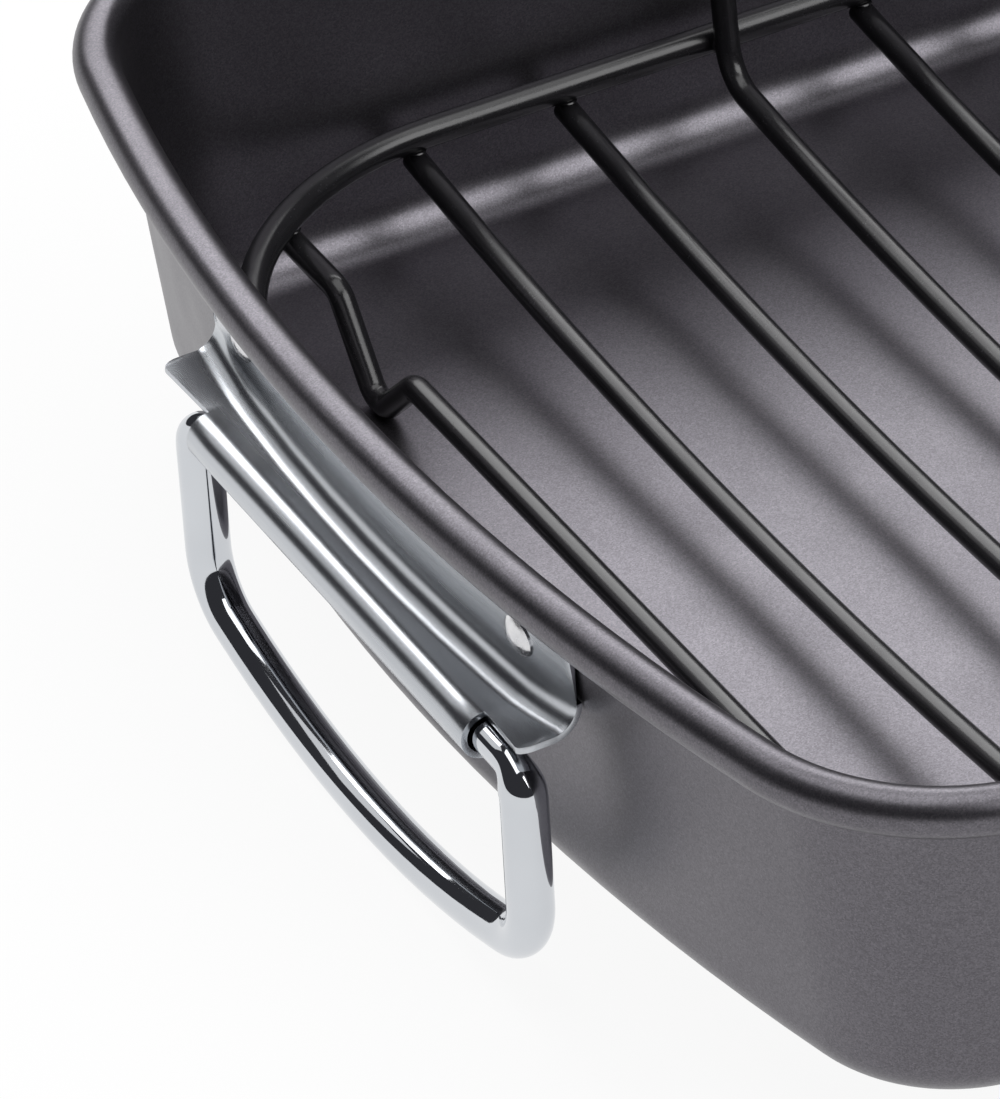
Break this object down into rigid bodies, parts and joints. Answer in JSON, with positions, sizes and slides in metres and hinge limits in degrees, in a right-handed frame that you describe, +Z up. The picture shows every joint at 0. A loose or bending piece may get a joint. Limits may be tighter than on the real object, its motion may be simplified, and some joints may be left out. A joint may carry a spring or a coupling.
{
  "type": "roasting pan with rack",
  "caption": "Bowed-end roasting pan with a rolled rim, swinging wire handles in riveted brackets, and a lift-out sagging wire rack on bent feet.",
  "frame": {"origin": "centre of the pan's flat underside", "axes": "+X along the pan towards the right-hand handle, +Y across it towards the back, +Z up"},
  "size_m": [0.3916, 0.28, 0.09],
  "materials": {
    "pan_coating": "satin dark grey non-stick coating with a fine sparkle",
    "rack_coating": "satin black coating on round wire",
    "handle_chrome": "bright plated steel",
    "rivet_steel": "plated rivet heads"
  },
  "bodies": {
    "pan": {"left_bracket": "handle_chrome", "left_rivet_back": "rivet_steel", "left_rivet_front": "rivet_steel", "pan_body": "pan_coating", "right_bracket": "handle_chrome", "right_rivet_back": "rivet_steel", "right_rivet_front": "rivet_steel"},
    "left_handle": {"left_bail": "handle_chrome"},
    "right_handle": {"right_bail": "handle_chrome"},
    "rack": {"rack_cross_wire_02": "rack_coating", "rack_cross_wire_03": "rack_coating", "rack_cross_wire_05": "rack_coating", "rack_cross_wire_06": "rack_coating", "rack_cross_wire_07": "rack_coating", "rack_cross_wire_09": "rack_coating", "rack_cross_wire_10": "rack_coating", "rack_foot_wire_01": "rack_coating", "rack_foot_wire_11": "rack_coating", "rack_frame_wire": "rack_coating", "rack_lift_wire": "rack_coating"}
  },
  "joints": [
    {"name": "left_handle_swing", "type": "hinge", "parent": "pan", "child": "left_handle", "pos_m": [-0.1916, 0, 0.0337], "axis": [0, 1, 0], "range_deg": [-15, 95]},
    {"name": "right_handle_swing", "type": "hinge", "parent": "pan", "child": "right_handle", "pos_m": [0.1916, 0, 0.0337], "axis": [0, -1, 0], "range_deg": [-15, 95]},
    {"name": "rack_lift", "type": "slide", "parent": "pan", "child": "rack", "axis": [0, 0, 1], "range_m": [0, 0.08]}
  ]
}
